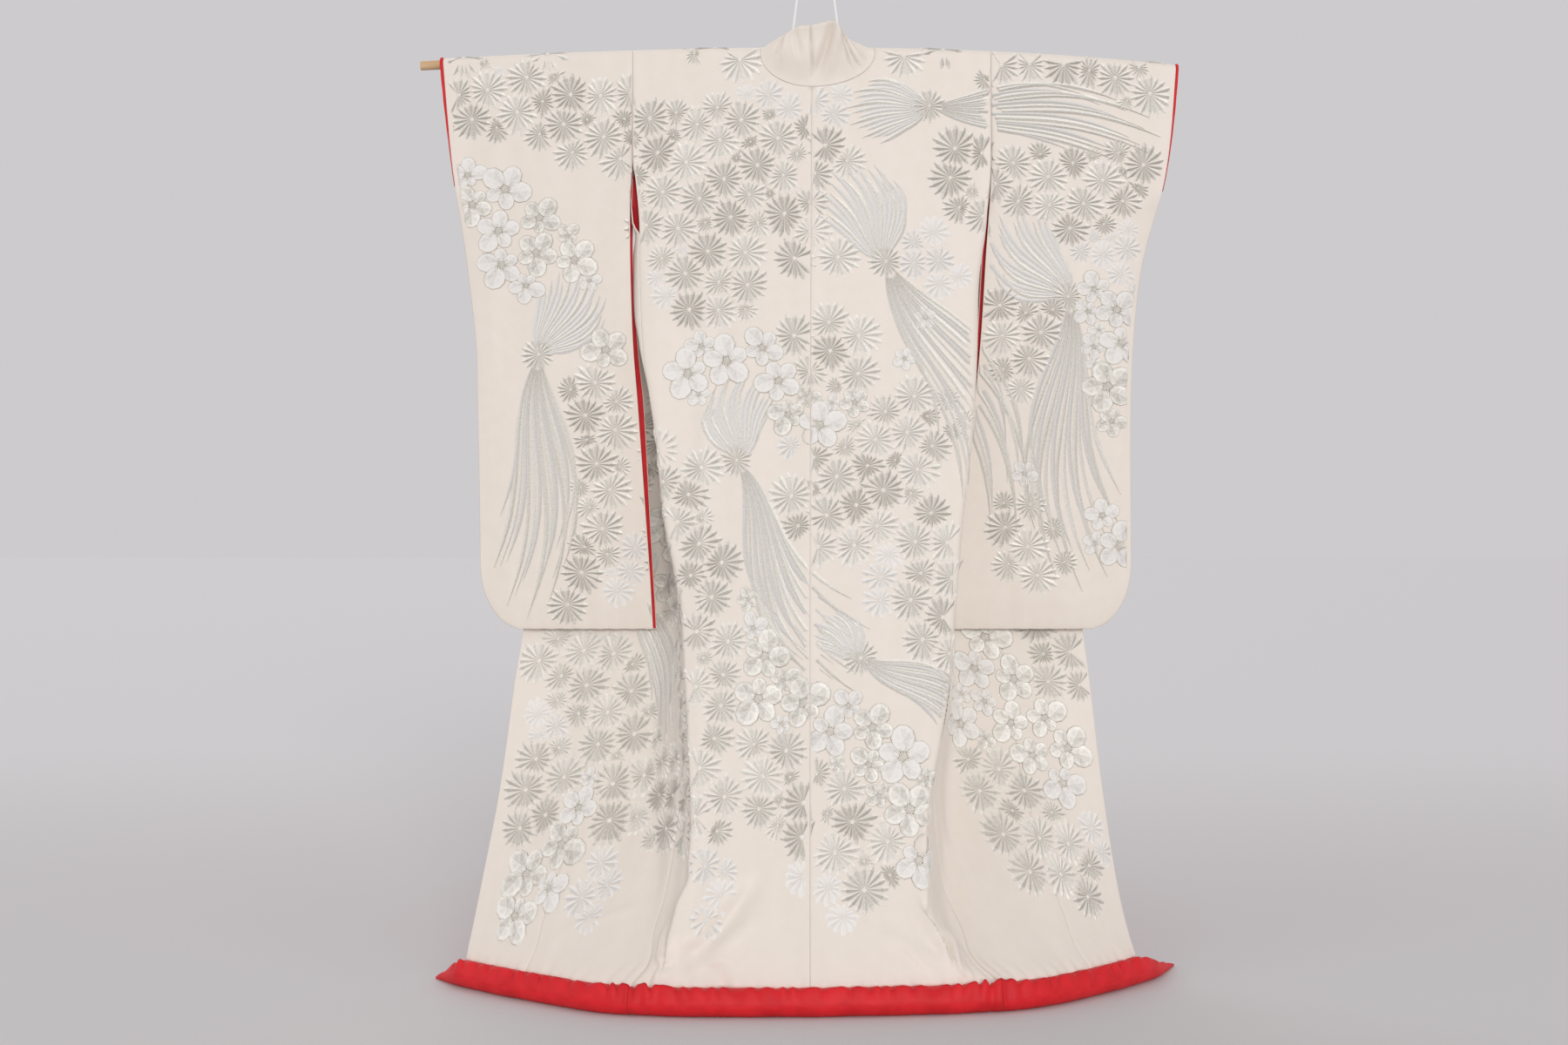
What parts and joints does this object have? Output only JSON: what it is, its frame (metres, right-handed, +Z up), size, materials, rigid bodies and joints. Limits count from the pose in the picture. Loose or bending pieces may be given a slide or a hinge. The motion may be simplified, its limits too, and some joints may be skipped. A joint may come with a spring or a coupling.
{
  "type": "uchikake wedding kimono with hanging pole and cord",
  "caption": "Long-sleeved silk outer kimono with a red padded hem, hung by its sleeves on a wooden pole with a white cord, its back towards the viewer.",
  "frame": {"origin": "top of the hanging cord's loop, where a hook holds it", "axes": "+Z up; -Y is the way the garment's back faces; +X is to the right of someone who looks at its back; the padded hem rests on a floor 1.936 m below the origin"},
  "size_m": [1.3937, 0.4864, 1.936],
  "materials": {
    "ivory_satin": "ivory silk satin with silver and white embroidery, lined with red silk",
    "red_silk": "soft red plain-weave silk over cotton wadding",
    "pale_wood": "smooth pale wood",
    "white_cord": "matte white twisted cord"
  },
  "bodies": {
    "root": {"back_left": "ivory_satin", "back_right": "ivory_satin", "front_left": "ivory_satin", "front_right": "ivory_satin", "okumi_left": "ivory_satin", "okumi_right": "ivory_satin", "collar": "ivory_satin", "sleeve_left_back": "ivory_satin", "sleeve_left_front": "ivory_satin", "sleeve_right_back": "ivory_satin", "sleeve_right_front": "ivory_satin", "cuff_edge_left": "red_silk", "cuff_edge_right": "red_silk", "fuki_back": "red_silk", "fuki_left": "red_silk", "fuki_right": "red_silk", "pole": "pale_wood", "hang_cord": "white_cord", "cord_wrap_left": "white_cord", "cord_wrap_right": "white_cord"}
  },
  "joints": []
}
